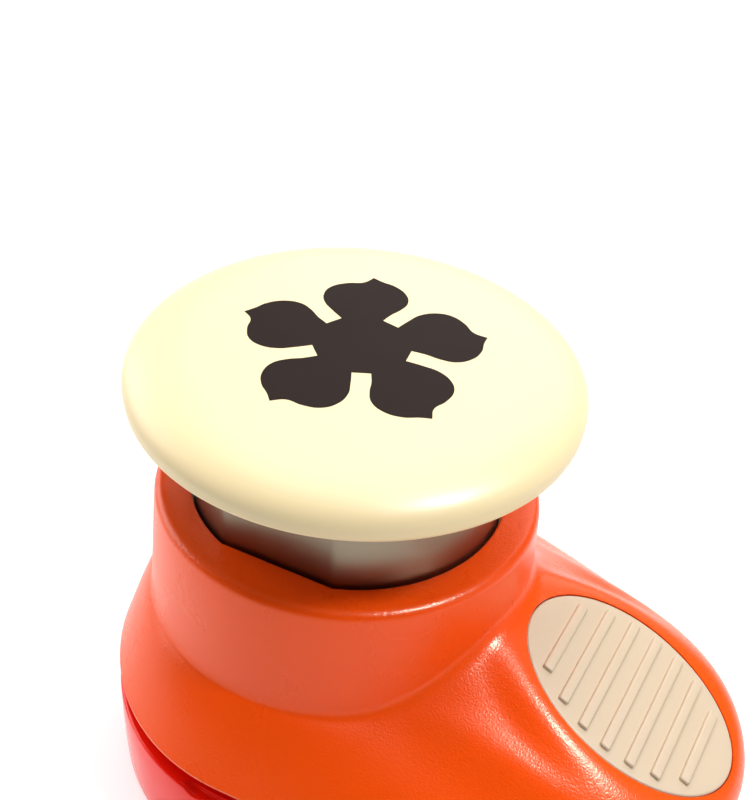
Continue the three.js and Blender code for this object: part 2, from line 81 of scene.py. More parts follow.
view_forward = Vector((-0.32622, 0.73590, -0.59332))
level_right = Vector((0.91180, 0.41056, 0.00791))
level_up = Vector((-0.24942, 0.53841, 0.80493))
view_roll = math.radians(4.45)
right = math.cos(view_roll) * level_right + math.sin(view_roll) * level_up
up = math.cos(view_roll) * level_up - math.sin(view_roll) * level_right
bpy.ops.object.select_all(action="DESELECT")
bpy.ops.object.camera_add()
camera = bpy.context.object
camera.name = "product_camera"
camera.matrix_world = Matrix((right, up, -view_forward)).transposed().to_4x4()
camera.location = Vector((axis_x, 0, punch_top)) + Vector((55.124, -118.996, 89.605)) * mm
camera.data.lens = 67.5
camera.data.sensor_width = 36
camera.data.clip_start = 0.01
scene.camera = camera


def soft_box(name, towards, distance, size, power):
    """An area lamp that looks at the middle of the punch from the direction given."""
    aim = Vector((0, 0, punch_top / 2))
    bpy.ops.object.light_add(type="AREA", location=aim + Vector(towards).normalized() * distance)
    lamp = bpy.context.object
    lamp.name = name
    lamp.rotation_euler = (aim - lamp.location).to_track_quat("-Z", "Y").to_euler()
    lamp.data.shape = "RECTANGLE"
    lamp.data.size, lamp.data.size_y = size
    lamp.data.energy = power
    return lamp


soft_box("top_box", (-0.1, 0.2, 1.0), 0.6, (0.5, 0.5), 3.6)
soft_box("left_box", (-1.0, 0.0, 0.35), 0.5, (0.4, 0.3), 1.7)
soft_box("back_box", (-0.1, 1.0, 0.6), 0.6, (0.6, 0.35), 1.6)
soft_box("right_box", (1.0, 0.2, 0.35), 0.6, (0.5, 0.3), 0.3)
soft_box("small_box", (0.55, -0.03, 0.9), 0.5, (0.09, 0.09), 1.4)
# A lamp seen only in gloss, where the small box is, for a crisper light on the mouldings.
glint_box = soft_box("glint_box", (0.55, -0.03, 0.9), 0.5, (0.1, 0.1), 3.2)
glint_box.visible_diffuse = False

scene.world = bpy.data.worlds.new("dim_room")
scene.world.use_nodes = True
room = scene.world.node_tree.nodes["Background"]
room.inputs["Color"].default_value = (1, 1, 1, 1)
room.inputs["Strength"].default_value = 0.06


def principled(name, **sockets):
    """A new node material with the shader's sockets set; returns it, its tree and its shader."""
    material = bpy.data.materials.new(name)
    material.use_nodes = True
    tree = material.node_tree
    shader = tree.nodes["Principled BSDF"]
    for socket, value in sockets.items():
        shader.inputs[socket.replace("_", " ")].default_value = value
    return material, tree, shader


bpy.ops.mesh.primitive_plane_add(size=3)
table = bpy.context.object
table.name = "table"
table_paper, _, _ = principled("table_paper", Base_Color=(0.45, 0.45, 0.45, 1), Roughness=0.9,
                               Emission_Color=(1, 1, 1, 1), Emission_Strength=0.62)
table.data.materials.append(table_paper)

# ---- Base housing ----
# A tray moulded in glossy red plastic. It is hollow below, with a round chute under the die for
# the cut shapes, bosses for the screws, and a shallow seat on top that holds the die plate flush.
FRONT_REACH = (axis_x - cad_bounds[0][0]) / mm
TAIL_REACH = (cad_bounds[1][0] - axis_x) / mm
HALF_WIDTH = cad_bounds[1][1] / mm
DECK_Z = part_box("base_housing")[1].z / mm
DIE_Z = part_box("die_plate")[0].z / mm
TAIL_POWER = 2.3
TURN_STEPS = 180
GAP = 0.3
BASE_ROOF = 2.6
BASE_WALL_TOP = 2.65
BASE_WALL_FOOT = 4.4
FOOT_INSET = 0.5
FOOT_ROUND = 1.0
DECK_ROUND = 0.45
RELIEF_START = -4.3
RELIEF_RAMP = 0.9
RELIEF_DEPTH = 0.5
PLATE_R = 22.5
TONGUE_X = 31
TONGUE_HALF = 12.5
SEAT_RIM = 1.6
TONGUE_RIM = 1.8
SEAT_FLOOR = 2
CHUTE_R = 15.6
CHUTE_WALL = 1.6
BOSS_R = 3.2
TAIL_BOSS_R = 3.4
SCREW_HOLE_R = 1.6
HOUSING_SCREWS = [(37, -12), (37, 12)]
REAR_SCREWS = [(27.5, -8.5), (27.5, 8.5)]
DIE_SCREWS = [(-14.9, -12.5), (-14.9, 12.5)]


def clamp(value, low=0.0, high=1.0):
    return max(low, min(high, value))


def outline(angle, inset):
    """Plan of the body: half an ellipse in front, a fuller curve to the tail."""
    c = math.cos(angle)
    reach = (FRONT_REACH - inset) * c if c < 0 else (TAIL_REACH - inset) * c ** (2 / TAIL_POWER)
    return reach, (HALF_WIDTH - inset) * math.sin(angle)


def outline_ring(inset, z):
    return lambda angle: (*outline(angle, inset), z)


def circle_ring(radius, z):
    return lambda angle: (radius * math.cos(angle), radius * math.sin(angle), z)


def pole(z):
    return lambda angle: (0, 0, z)


def only(piece):
    bpy.ops.object.select_all(action="DESELECT")
    piece.select_set(True)
    bpy.context.view_layer.objects.active = piece


def drawn_up(name, rings, steps=TURN_STEPS):
    """A circle extruded ring after ring, each laid on its own closed plan, then welded shut."""
    bpy.ops.object.select_all(action="DESELECT")
    bpy.ops.mesh.primitive_circle_add(vertices=steps, radius=mm)
    piece = bpy.context.object
    piece.name = name
    turn = piece.data.attributes.new("turn", "FLOAT", "POINT")
    for vertex, value in zip(piece.data.vertices, turn.data):
        value.value = math.atan2(vertex.co.y, vertex.co.x)
    bpy.ops.object.mode_set(mode="EDIT")
    bpy.ops.mesh.select_all(action="SELECT")
    for level, ring in enumerate(rings):
        if level:
            bpy.ops.mesh.extrude_edges_move()
        mesh = bmesh.from_edit_mesh(piece.data)
        angles = mesh.verts.layers.float["turn"]
        for vertex in mesh.verts:
            if vertex.select:
                vertex.co = place(*ring(vertex[angles]))
        bmesh.update_edit_mesh(piece.data)
    bpy.ops.mesh.select_all(action="SELECT")
    bpy.ops.mesh.remove_doubles(threshold=0.002 * mm)
    bpy.ops.mesh.normals_make_consistent(inside=False)
    bpy.ops.object.mode_set(mode="OBJECT")
    piece.data.attributes.remove(piece.data.attributes["turn"])
    return piece


def rod(x, y, low, high, radius, steps=32):
    """An upright cylinder, for a boss, a pin or a bore."""
    bpy.ops.object.select_all(action="DESELECT")
    bpy.ops.mesh.primitive_cylinder_add(vertices=steps, radius=radius * mm, depth=(high - low) * mm,
                                        location=place(x, y, (low + high) / 2))
    return bpy.context.object


def slab(low, high):
    """A block between two corners, for a slot or a bar."""
    bpy.ops.object.select_all(action="DESELECT")
    middle = [(a + b) / 2 for a, b in zip(low, high)]
    bpy.ops.mesh.primitive_cube_add(size=mm, location=place(*middle))
    bpy.ops.transform.resize(value=[b - a for a, b in zip(low, high)])
    return bpy.context.object


def joined(pieces):
    """Several bodies that don't touch, as one object."""
    bpy.ops.object.select_all(action="DESELECT")
    for piece in pieces:
        piece.select_set(True)
    bpy.context.view_layer.objects.active = pieces[0]
    bpy.ops.object.join()
    bpy.ops.object.transform_apply(location=True, rotation=True, scale=True)
    return bpy.context.object


def carve(piece, tools, how="DIFFERENCE"):
    """Cuts the tools out of a piece, or joins them to it, and removes them."""
    tool = joined(tools)
    only(piece)
    cut = piece.modifiers.new("carve", "BOOLEAN")
    cut.operation = how
    cut.solver = "EXACT"
    cut.object = tool
    bpy.ops.object.modifier_apply(modifier=cut.name)
    bpy.data.objects.remove(tool)


def complete(piece, material, body, nodes, angle=32):
    """Smooth shading, the finish and the piece's place in the frame."""
    only(piece)
    bpy.ops.object.transform_apply(location=True, rotation=True, scale=True)
    bpy.ops.object.shade_smooth_by_angle(angle=math.radians(angle))
    piece.data.materials.clear()
    piece.data.materials.append(material)
    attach(piece, body)
    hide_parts(*nodes)


def plate_plan(disc_rim, tongue_rim, z):
    """Plan of the die's seat: a disc with a tongue towards the tail, each grown by its rim."""
    def ring(angle):
        c, s = math.cos(angle), math.sin(angle)
        reach = PLATE_R + disc_rim
        if c > 0:
            along = (TONGUE_X + tongue_rim) / c
            across = (TONGUE_HALF + tongue_rim) / max(abs(s), 1e-9)
            reach = max(reach, min(along, across))
        return reach * c, reach * s, z
    return ring


def edge_drop(angle):
    """The deck's edge is worked lower from the punch axis back to the tail."""
    x = outline(angle, 0)[0]
    t = clamp((x - RELIEF_START) / RELIEF_RAMP)
    return RELIEF_DEPTH * t * t * (3 - 2 * t)


def deck_ring(inset, below):
    return lambda angle: (*outline(angle, inset), DECK_Z - below - edge_drop(angle))


def deck_flat_ring(inset, drop_share):
    def ring(angle):
        drop = edge_drop(angle)
        return *outline(angle, inset + 0.5 * drop), DECK_Z - drop_share * drop
    return ring


def seat_block(name, disc_rim, tongue_rim, low, high):
    return drawn_up(name, [pole(low), plate_plan(disc_rim, tongue_rim, low),
                           plate_plan(disc_rim, tongue_rim, high), pole(high)])


# The section of the wall: hollow side, foot, outer side, then the deck's edge.
roof_z = DECK_Z - BASE_ROOF
base_rings = [
    pole(roof_z), outline_ring(9, roof_z), outline_ring(BASE_WALL_TOP + 0.75, roof_z),
    outline_ring(BASE_WALL_TOP + 0.25, roof_z - 0.25), outline_ring(BASE_WALL_TOP, roof_z - 0.8),
    outline_ring(BASE_WALL_FOOT, 0.15), outline_ring(BASE_WALL_FOOT - 0.15, 0),
    outline_ring(FOOT_INSET + FOOT_ROUND, 0),
]
for step in range(1, 6):
    turn = step / 5 * math.pi / 2
    inset = FOOT_INSET + FOOT_ROUND * (1 - math.sin(turn))
    base_rings.append(outline_ring(inset, FOOT_ROUND * (1 - math.cos(turn))))
base_rings += [outline_ring(0.3, 3.6), outline_ring(0.12, 7), deck_ring(0.0, DECK_ROUND + 0.1)]
for step in range(1, 6):
    turn = step / 5 * math.pi / 2
    below = DECK_ROUND + 0.1 - DECK_ROUND * math.sin(turn)
    base_rings.append(deck_ring(DECK_ROUND * (1 - math.cos(turn)), below))
base_rings += [deck_flat_ring(0.75, 0.9), deck_flat_ring(1.0, 0), outline_ring(3, DECK_Z), pole(DECK_Z)]
base_shell = drawn_up("base_shell", base_rings)
seat_z = DIE_Z - GAP
under_seat = seat_block("under_seat", SEAT_RIM, TONGUE_RIM, seat_z - SEAT_FLOOR, DECK_Z - 1)
carve(base_shell, [under_seat], "UNION")
carve(base_shell, [rod(0, 0, 0.6, seat_z, CHUTE_R + CHUTE_WALL, 96)], "UNION")
carve(base_shell, [rod(x, y, 4.6, seat_z - 1, BOSS_R) for x, y in REAR_SCREWS + DIE_SCREWS]
      + [rod(x, y, 3, DECK_Z - 2, TAIL_BOSS_R) for x, y in HOUSING_SCREWS], "UNION")
carve(base_shell, [seat_block("pocket", GAP, GAP, seat_z, DECK_Z + 1)])
carve(base_shell, [rod(0, 0, -1, DECK_Z + 1, CHUTE_R, 96)]
      + [rod(x, y, -1, DECK_Z + 1, SCREW_HOLE_R) for x, y in REAR_SCREWS + HOUSING_SCREWS]
      + [rod(x, y, 5.2, DECK_Z + 1, SCREW_HOLE_R) for x, y in DIE_SCREWS])


def group_of(name, ins, outs):
    """A shader node group with its sockets; returns the group, its input and its output node."""
    group = bpy.data.node_groups.new(name, "ShaderNodeTree")
    for label, kind, value in ins:
        socket = group.interface.new_socket(label, in_out="INPUT", socket_type=kind)
        socket.default_value = value
    for label, kind in outs:
        group.interface.new_socket(label, in_out="OUTPUT", socket_type=kind)
    return group, group.nodes.new("NodeGroupInput"), group.nodes.new("NodeGroupOutput")


def math_node(tree, operation, first, second):
    node = tree.nodes.new("ShaderNodeMath")
    node.operation = operation
    for socket, value in zip(node.inputs, (first, second)):
        if isinstance(value, (int, float)):
            socket.default_value = value
        else:
            tree.links.new(value, socket)
    return node.outputs[0]


def texture(tree, kind, coordinate, scale, **sockets):
    node = tree.nodes.new(kind)
    tree.links.new(coordinate, node.inputs["Vector"])
    if isinstance(scale, (int, float)):
        node.inputs["Scale"].default_value = scale
    else:
        tree.links.new(scale, node.inputs["Scale"])
    for label, value in sockets.items():
        node.inputs[label].default_value = value
    return node


# Moulded plastic: a fine spark-eroded grain, as the steel mould leaves it.
grain, grain_in, grain_out = group_of(
    "moulded_grain",
    [("Cells per metre", "NodeSocketFloat", 3200), ("Depth", "NodeSocketFloat", 0.3)],
    [("Normal", "NodeSocketVector")])
where = grain.nodes.new("ShaderNodeTexCoord").outputs["Object"]
pits = texture(grain, "ShaderNodeTexNoise", where, grain_in.outputs["Cells per metre"], Detail=1.5)
bump = grain.nodes.new("ShaderNodeBump")
bump.inputs["Distance"].default_value = 0.035 * mm
grain.links.new(grain_in.outputs["Depth"], bump.inputs["Strength"])
grain.links.new(pits.outputs["Fac"], bump.inputs["Height"])
grain.links.new(bump.outputs["Normal"], grain_out.inputs["Normal"])

# Handling: the colour drifts a little over the moulding, and touched places are smoother.
drift, drift_in, drift_out = group_of(
    "handled_surface",
    [("Colour", "NodeSocketColor", (1, 1, 1, 1)), ("Shade", "NodeSocketFloat", 0.05),
     ("Roughness", "NodeSocketFloat", 0.4), ("Wear", "NodeSocketFloat", 0.1)],
    [("Colour", "NodeSocketColor"), ("Roughness", "NodeSocketFloat")])
where = drift.nodes.new("ShaderNodeTexCoord").outputs["Object"]
clouds = texture(drift, "ShaderNodeTexNoise", where, 45, Detail=3).outputs["Fac"]
smears = texture(drift, "ShaderNodeTexNoise", where, 160, Detail=5, Distortion=0.6).outputs["Fac"]
swing = math_node(drift, "SUBTRACT", clouds, 0.5)
level = math_node(drift, "ADD", math_node(drift, "MULTIPLY", swing, drift_in.outputs["Shade"]), 1)
tone = drift.nodes.new("ShaderNodeHueSaturation")
drift.links.new(drift_in.outputs["Colour"], tone.inputs["Color"])
drift.links.new(level, tone.inputs["Value"])
drift.links.new(tone.outputs["Color"], drift_out.inputs["Colour"])
rub = math_node(drift, "MULTIPLY", math_node(drift, "SUBTRACT", smears, 0.5), drift_in.outputs["Wear"])
drift.links.new(math_node(drift, "ADD", drift_in.outputs["Roughness"], rub), drift_out.inputs["Roughness"])


def moulded(name, colour, roughness, wear, cells, depth, shade=0.06, **sockets):
    """A plastic: handled colour and gloss over the mould's grain, given in cells per metre."""
    material, tree, shader = principled(name, **sockets)
    surface = tree.nodes.new("ShaderNodeGroup")
    surface.node_tree = drift
    surface.inputs["Colour"].default_value = (*colour, 1)
    surface.inputs["Shade"].default_value = shade
    surface.inputs["Roughness"].default_value = roughness
    surface.inputs["Wear"].default_value = wear
    skin = tree.nodes.new("ShaderNodeGroup")
    skin.node_tree = grain
    skin.inputs["Cells per metre"].default_value = cells
    skin.inputs["Depth"].default_value = depth
    tree.links.new(surface.outputs["Colour"], shader.inputs["Base Color"])
    tree.links.new(surface.outputs["Roughness"], shader.inputs["Roughness"])
    tree.links.new(skin.outputs["Normal"], shader.inputs["Normal"])
    return material


red_gloss = moulded("red_gloss", (0.97, 0.008, 0.001), roughness=0.16, wear=0.08, cells=1500,
                    depth=0.05, IOR=1.36, Specular_Tint=(1, 0.93, 0.8, 1))
complete(base_shell, red_gloss, "frame", ["base_housing"])

# ---- Die, guide plate and paper stop ----
# Hardened steel plates, ground flat and lapped. The die sits flush in the base, the guide hangs
# from the upper housing, and a zinc bar between them closes the back of the paper slot.


def metal(name, colour, roughness, streaks, across, depth=0.1, unevenness=0.25):
    """A metal with the fine lines of its last machining, which run where across is small."""
    material, tree, shader = principled(name, Metallic=1.0)
    where = tree.nodes.new("ShaderNodeTexCoord").outputs["Object"]
    turned_to = tree.nodes.new("ShaderNodeMapping")
    turned_to.inputs["Scale"].default_value = across
    tree.links.new(where, turned_to.inputs["Vector"])
    lines = texture(tree, "ShaderNodeTexNoise", turned_to.outputs["Vector"], streaks, Detail=4)
    surface = tree.nodes.new("ShaderNodeGroup")
    surface.node_tree = drift
    surface.inputs["Colour"].default_value = (*colour, 1)
    surface.inputs["Shade"].default_value = 0.2
    surface.inputs["Wear"].default_value = 0.15
    centred = math_node(tree, "SUBTRACT", lines.outputs["Fac"], 0.5)
    swing = math_node(tree, "MULTIPLY", centred, unevenness)
    tree.links.new(math_node(tree, "ADD", swing, roughness), surface.inputs["Roughness"])
    ridges = tree.nodes.new("ShaderNodeBump")
    ridges.inputs["Distance"].default_value = 0.01 * mm
    ridges.inputs["Strength"].default_value = depth
    tree.links.new(lines.outputs["Fac"], ridges.inputs["Height"])
    tree.links.new(surface.outputs["Colour"], shader.inputs["Base Color"])
    tree.links.new(surface.outputs["Roughness"], shader.inputs["Roughness"])
    tree.links.new(ridges.outputs["Normal"], shader.inputs["Normal"])
    return material


ground_steel = metal("ground_steel", (0.56, 0.56, 0.58), roughness=0.3, streaks=1500, across=(0.04, 1, 1))
zinc_plate = metal("zinc_plate", (0.72, 0.73, 0.74), roughness=0.34, streaks=600, across=(1, 1, 1))
for node, material in (("die_plate", ground_steel), ("guide_plate", ground_steel),
                       ("male_punch", ground_steel), ("paper_stop", zinc_plate),
                       ("spring_washer", zinc_plate)):
    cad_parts[node].data.materials.clear()
    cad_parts[node].data.materials.append(material)

# ---- Screws ----
# Zinc-plated steel screws with cross recesses: pan heads where the head stands in a hollow, flat
# heads where a plate has to stay flush. The thread is rolled.
SCREW_R = 1.3
HEAD_R = 2.2
HEAD = 1.5
THREAD_DEPTH = 0.22
THREAD_PITCH = 0.6
DRIVE_DEPTH = 0.7
DRIVE_HALF = 0.32
DRIVE_REACH = 1.12


def screw(node, body, head_up, flat_head=False):
    """One screw in a node's place: its head, its rolled thread, its point and its cross recess."""
    low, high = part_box(node)
    x = ((low.x + high.x) / 2 - axis_x) / mm
    y = (low.y + high.y) / 2 / mm
    head_z, tip_z = (high.z / mm, low.z / mm) if head_up else (low.z / mm, high.z / mm)
    side = 1 if head_up else -1
    profile = [(0, 0), (HEAD_R - 0.02, 0), (HEAD_R, 0.12), (SCREW_R, HEAD)]
    if not flat_head:
        profile = [(0, 0), (HEAD_R * 0.5, 0.03), (HEAD_R * 0.8, 0.2), (HEAD_R * 0.96, 0.5),
                   (HEAD_R, 0.85), (HEAD_R, HEAD - 0.1), (HEAD_R - 0.1, HEAD), (SCREW_R, HEAD)]
    length = abs(head_z - tip_z)
    depth = HEAD + 0.3
    while depth < length - 1.6:
        profile += [(SCREW_R, depth), (SCREW_R - THREAD_DEPTH, depth + 0.25), (SCREW_R, depth + 0.5)]
        depth += THREAD_PITCH
    profile += [(SCREW_R - 0.25, length - 0.9), (0.3, length - 0.05), (0, length)]
    rings = [lambda angle, r=r, d=d: (x + r * math.cos(angle), y + r * math.sin(angle), head_z - side * d)
             for r, d in profile]
    piece = drawn_up(node.replace("_screw_", "_fixing_"), rings, 24)
    drive_low, drive_high = sorted((head_z + side, head_z - side * DRIVE_DEPTH))
    for long, wide in ((DRIVE_REACH, DRIVE_HALF), (DRIVE_HALF, DRIVE_REACH)):
        carve(piece, [slab((x - long, y - wide, drive_low), (x + long, y + wide, drive_high))])
    complete(piece, zinc_plate, body, [node], 40)


for number in (1, 2):
    screw(f"plate_screw_{number}", "frame", False)
    screw(f"die_screw_{number}", "frame", True, True)
    screw(f"guide_screw_{number}", "frame", False, True)
    screw(f"housing_screw_{number}", "frame", False)
    screw(f"punch_screw_{number}", "press", True)
for number in (1, 2, 3):
    screw(f"button_screw_{number}", "press", False)

# ---- Return spring ----
# Six-tenths spring wire wound in four turns round the cutter, its end turns lying flat on the
# washer and under the plunger's flange. It is held only by its own push.
spring_low, spring_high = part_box("return_spring")
WIRE_R = 0.6 * mm
SPRING_TURNS = 4
COIL_POINTS = 240
coil_r = (spring_high.x - spring_low.x) / 2 - WIRE_R
coil = bpy.data.curves.new("spring_wire", "CURVE")
coil.dimensions = "3D"
coil.bevel_depth = WIRE_R
coil.bevel_resolution = 4
coil.use_fill_caps = True
wire = coil.splines.new("POLY")
wire.points.add(COIL_POINTS)
for index, point in enumerate(wire.points):
    t = index / COIL_POINTS
    lift = clamp((t - 0.05) / 0.9)
    lift = lift ** 3 * (lift * (lift * 6 - 15) + 10)
    rise = (spring_high.z - spring_low.z - 2 * WIRE_R) * (0.15 * t + 0.85 * lift)
    turn = t * SPRING_TURNS * 2 * math.pi
    middle = Vector((axis_x, 0, spring_low.z + WIRE_R + rise))
    point.co = (*(middle + Vector((math.cos(turn), math.sin(turn), 0)) * coil_r), 1)
spring = bpy.data.objects.new("spring_coil", coil)
scene.collection.objects.link(spring)
only(spring)
bpy.ops.object.convert(target="MESH")
spring = bpy.context.object
spring_steel = metal("spring_steel", (0.42, 0.42, 0.44), roughness=0.3, streaks=900, across=(1, 1, 0.2))
complete(spring, spring_steel, "frame", ["return_spring"])
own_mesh(spring)

# ---- Upper housing ----
# One shell moulded in orange plastic: a round collar that guides the plunger, running down in a
# bell to the base and along a straight ridge to the tail. Posts inside take the screws.
COLLAR_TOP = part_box("upper_housing")[1].z / mm
COLLAR_R = 21.8
COLLAR_FLARE = 0.5
COLLAR_LIP = 2.2
CREASE_Z = 22.8
CREASE_ABOVE = 1.3
CREASE_OUT = 0.07
RIDGE_Z = 29.8
EDGE_Z = 14.1
EDGE_TAIL_Z = 13.2
SKIRT_Z = DECK_Z + GAP
WALL = 2.2
TAIL_WALL = 3
SLOPE = math.radians(25.6)
TAIL_SPREAD = math.radians(40)
TAIL_FALL = 2.9
PAD_X = 36.5
PAD_Z = 22.72
PAD_LENGTH = 14
PAD_WIDTH = 10.25
PAD_THICK = 1.2
PAD_FLUSH = 1.05
PAD_FADE = 1.45
PLUNGER_R = 17.42
PLUNGER_FLAT = 16.11
OUTER_BELL = (1.3, 1.05)
INNER_BELL = (2.5, 0.55)
RIDGE_SHOULDER = 40
RIDGE_HOLLOW = 0.5
EDGE_ROUND = 1.1
LIP_EDGE = 0.3
POST_R = 2.2
TAIL_POST_R = 3
TAIL_POST_TOP = 18
SLOT_HEIGHT = 2.6
GUIDE_SCREWS = [(-15.2, -12.85), (-15.2, 12.85)]
PAD_PEGS = (-7, 7)
PEG_R = 1.5
PEG_LENGTH = 4
PEG_HOLE = 8


def mix(a, b, t):
    return a + (b - a) * t


def tail_share(angle):
    """1 along the ridge of the tail, falling smoothly to 0 at the sides and the front."""
    away = abs(math.atan2(math.sin(angle), math.cos(angle)))
    return math.exp(-(away / TAIL_SPREAD) ** TAIL_FALL)


def collar_radius(z):
    return COLLAR_R + COLLAR_FLARE * (COLLAR_TOP - z) / (COLLAR_TOP - CREASE_Z)


def crease_height(angle):
    return mix(CREASE_Z, RIDGE_Z, tail_share(angle))


def pad_rise(x, y, z, f):
    """How far the skin rises beside the thumb pad, so that the pad's face lies flush in it."""
    reach = math.hypot((x - PAD_X) / (PAD_LENGTH * math.cos(SLOPE)), y / PAD_WIDTH)
    t = clamp((PAD_FADE - reach) / (PAD_FADE - PAD_FLUSH))
    missing = PAD_Z - (x - PAD_X) * math.tan(SLOPE) - z
    return t * t * (3 - 2 * t) * (1 - f ** 8) * max(0.0, missing)


def skin_ring(f, inner=False):
    """Ring of the body's skin, from 0 at the collar to 1 at the widest edge: a bell at the sides
    and the front, and a straight slope with a tight edge along the tail's ridge."""
    inset = WALL if inner else 0
    bell_shoulder, bell_hollow = INNER_BELL if inner else OUTER_BELL

    def ring(angle):
        tail = tail_share(angle)
        crease = crease_height(angle)
        r = collar_radius(crease) - inset
        edge_x, edge_y = outline(angle, inset)
        edge_z = SKIRT_Z + 0.2 if inner else mix(EDGE_Z, EDGE_TAIL_Z, tail)
        slope = math.tan(SLOPE) * (TAIL_REACH - collar_radius(RIDGE_Z)) * tail
        top = crease - (mix(WALL, TAIL_WALL, tail) if inner else 0) - slope * f
        shoulder = mix(bell_shoulder, RIDGE_SHOULDER, tail ** 3)
        hollow = mix(bell_hollow, RIDGE_HOLLOW, math.sqrt(tail))
        fall = max(0.0, 1 - f ** shoulder) ** hollow
        x = r * math.cos(angle) * (1 - f) + edge_x * f
        y = r * math.sin(angle) * (1 - f) + edge_y * f
        z = edge_z + (top - edge_z) * fall
        return x, y, z if inner else z + pad_rise(x, y, z, f)
    return ring


def flatted_ring(radius, flat, z):
    """A circle with a flat on each long side of the body."""
    return lambda angle: (radius * math.cos(angle), clamp(radius * math.sin(angle), -flat, flat), z)


def collar_ring(z_of):
    def ring(angle):
        z = z_of(angle)
        r = collar_radius(z)
        return r * math.cos(angle), r * math.sin(angle), z
    return ring


def crease_ring(t):
    """The small fillet where the collar meets the bell."""
    def ring(angle):
        z = crease_height(angle)
        start = Vector(collar_ring(lambda a: z + CREASE_ABOVE)(angle))
        corner = Vector(collar_ring(lambda a: z)(angle))
        end = Vector(skin_ring(CREASE_OUT)(angle))
        return tuple(start * (1 - t) ** 2 + corner * 2 * t * (1 - t) + end * t * t)
    return ring


def inner_crease_ring(angle):
    """The same corner on the hollow side, one wall further in."""
    r = collar_radius(crease_height(angle)) - WALL
    return r * math.cos(angle), r * math.sin(angle), crease_height(angle) - 1.9


# From the lip's hole over the collar, down the bell to the skirt, and back up inside.
hole_r = PLUNGER_R + GAP
hole_flat = PLUNGER_FLAT + GAP
lip_z = COLLAR_TOP - COLLAR_LIP
skin_rings = [flatted_ring(hole_r, hole_flat, z) for z in (lip_z, COLLAR_TOP - LIP_EDGE)]
for step in range(1, 4):
    turn = step / 3 * math.pi / 2
    grow = LIP_EDGE * (1 - math.cos(turn))
    z = COLLAR_TOP - LIP_EDGE * (1 - math.sin(turn))
    skin_rings.append(flatted_ring(hole_r + grow, hole_flat + grow, z))
skin_rings.append(circle_ring(COLLAR_R - EDGE_ROUND - 0.4, COLLAR_TOP))
for step in range(0, 8):
    turn = step / 7 * math.pi / 2
    skin_rings.append(circle_ring(COLLAR_R - EDGE_ROUND * (1 - math.sin(turn)),
                                  COLLAR_TOP - EDGE_ROUND * (1 - math.cos(turn))))
for share in (0.25, 0.5, 0.75):
    skin_rings.append(collar_ring(
        lambda a, s=share: mix(COLLAR_TOP - EDGE_ROUND, crease_height(a) + CREASE_ABOVE, s)))
skin_rings += [crease_ring(step / 7) for step in range(8)]
SKIN_STEPS = 34
first_turn = math.asin(CREASE_OUT)
for step in range(1, SKIN_STEPS + 1):
    skin_rings.append(skin_ring(math.sin(mix(first_turn, math.pi / 2, step / SKIN_STEPS))))
skin_rings += [outline_ring(0.02, SKIRT_Z + 1.2), outline_ring(0.08, SKIRT_Z + 0.35),
               outline_ring(0.3, SKIRT_Z + 0.08), outline_ring(0.5, SKIRT_Z), outline_ring(WALL, SKIRT_Z)]
skin_rings += [skin_ring(math.sin(step / 12 * math.pi / 2), True) for step in range(12, 0, -1)]
skin_rings += [inner_crease_ring, circle_ring(COLLAR_R - WALL, lip_z), flatted_ring(hole_r, hole_flat, lip_z)]
upper_shell = drawn_up("upper_shell", skin_rings)
guide_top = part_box("guide_plate")[1].z / mm
slot_end = (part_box("paper_stop")[0].x - axis_x) / mm
carve(upper_shell, [rod(x, y, guide_top + GAP, CREASE_Z - 1.5, POST_R) for x, y in GUIDE_SCREWS]
      + [rod(x, y, SKIRT_Z, TAIL_POST_TOP, TAIL_POST_R) for x, y in HOUSING_SCREWS], "UNION")
carve(upper_shell, [slab((-40, -40, 10), (slot_end, 40, DECK_Z + SLOT_HEIGHT))])
carve(upper_shell, [rod(x, y, SKIRT_Z - 1, TAIL_POST_TOP - 1.5, SCREW_HOLE_R) for x, y in HOUSING_SCREWS]
      + [rod(x, y, guide_top, CREASE_Z - 2.7, SCREW_HOLE_R) for x, y in GUIDE_SCREWS])


def on_slope(u, v, w):
    """A point of the pad's own plane: u down the slope, v across it, w out of it."""
    x = PAD_X + u * math.cos(SLOPE) + w * math.sin(SLOPE)
    return x, v, PAD_Z - u * math.sin(SLOPE) + w * math.cos(SLOPE)


def oval_ring(grow, w):
    length = PAD_LENGTH + grow
    width = PAD_WIDTH + grow
    return lambda angle: on_slope(length * math.cos(angle), width * math.sin(angle), w)


def slope_pole(w):
    return lambda angle: on_slope(0, 0, w)


def peg(u, radius, reach):
    """A round peg or its hole, from inside the pad down into the tail."""
    bpy.ops.object.select_all(action="DESELECT")
    start = PAD_THICK / 2
    middle = place(*on_slope(u, 0, -(start + reach) / 2))
    bpy.ops.mesh.primitive_cylinder_add(vertices=24, radius=radius * mm, depth=(reach - start) * mm,
                                        location=middle, rotation=(0, SLOPE, 0))
    return bpy.context.object


recess = drawn_up("recess", [slope_pole(-PAD_THICK - GAP), oval_ring(0.1, -PAD_THICK - GAP),
                             oval_ring(0.1, 12), slope_pole(12)], 128)
carve(upper_shell, [recess])
carve(upper_shell, [peg(u, PEG_R + GAP, PAD_THICK + PEG_HOLE) for u in PAD_PEGS])
orange_plastic = moulded("orange_plastic", (0.93, 0.079, 0.0012), roughness=0.28, wear=0.08,
                         cells=4300, depth=1.0, IOR=1.4, Specular_Tint=(1, 0.93, 0.78, 1),
                         Sheen_Weight=0.1, Sheen_Roughness=0.3, Sheen_Tint=(1, 0.82, 0.55, 1))
complete(upper_shell, orange_plastic, "frame", ["upper_housing"])

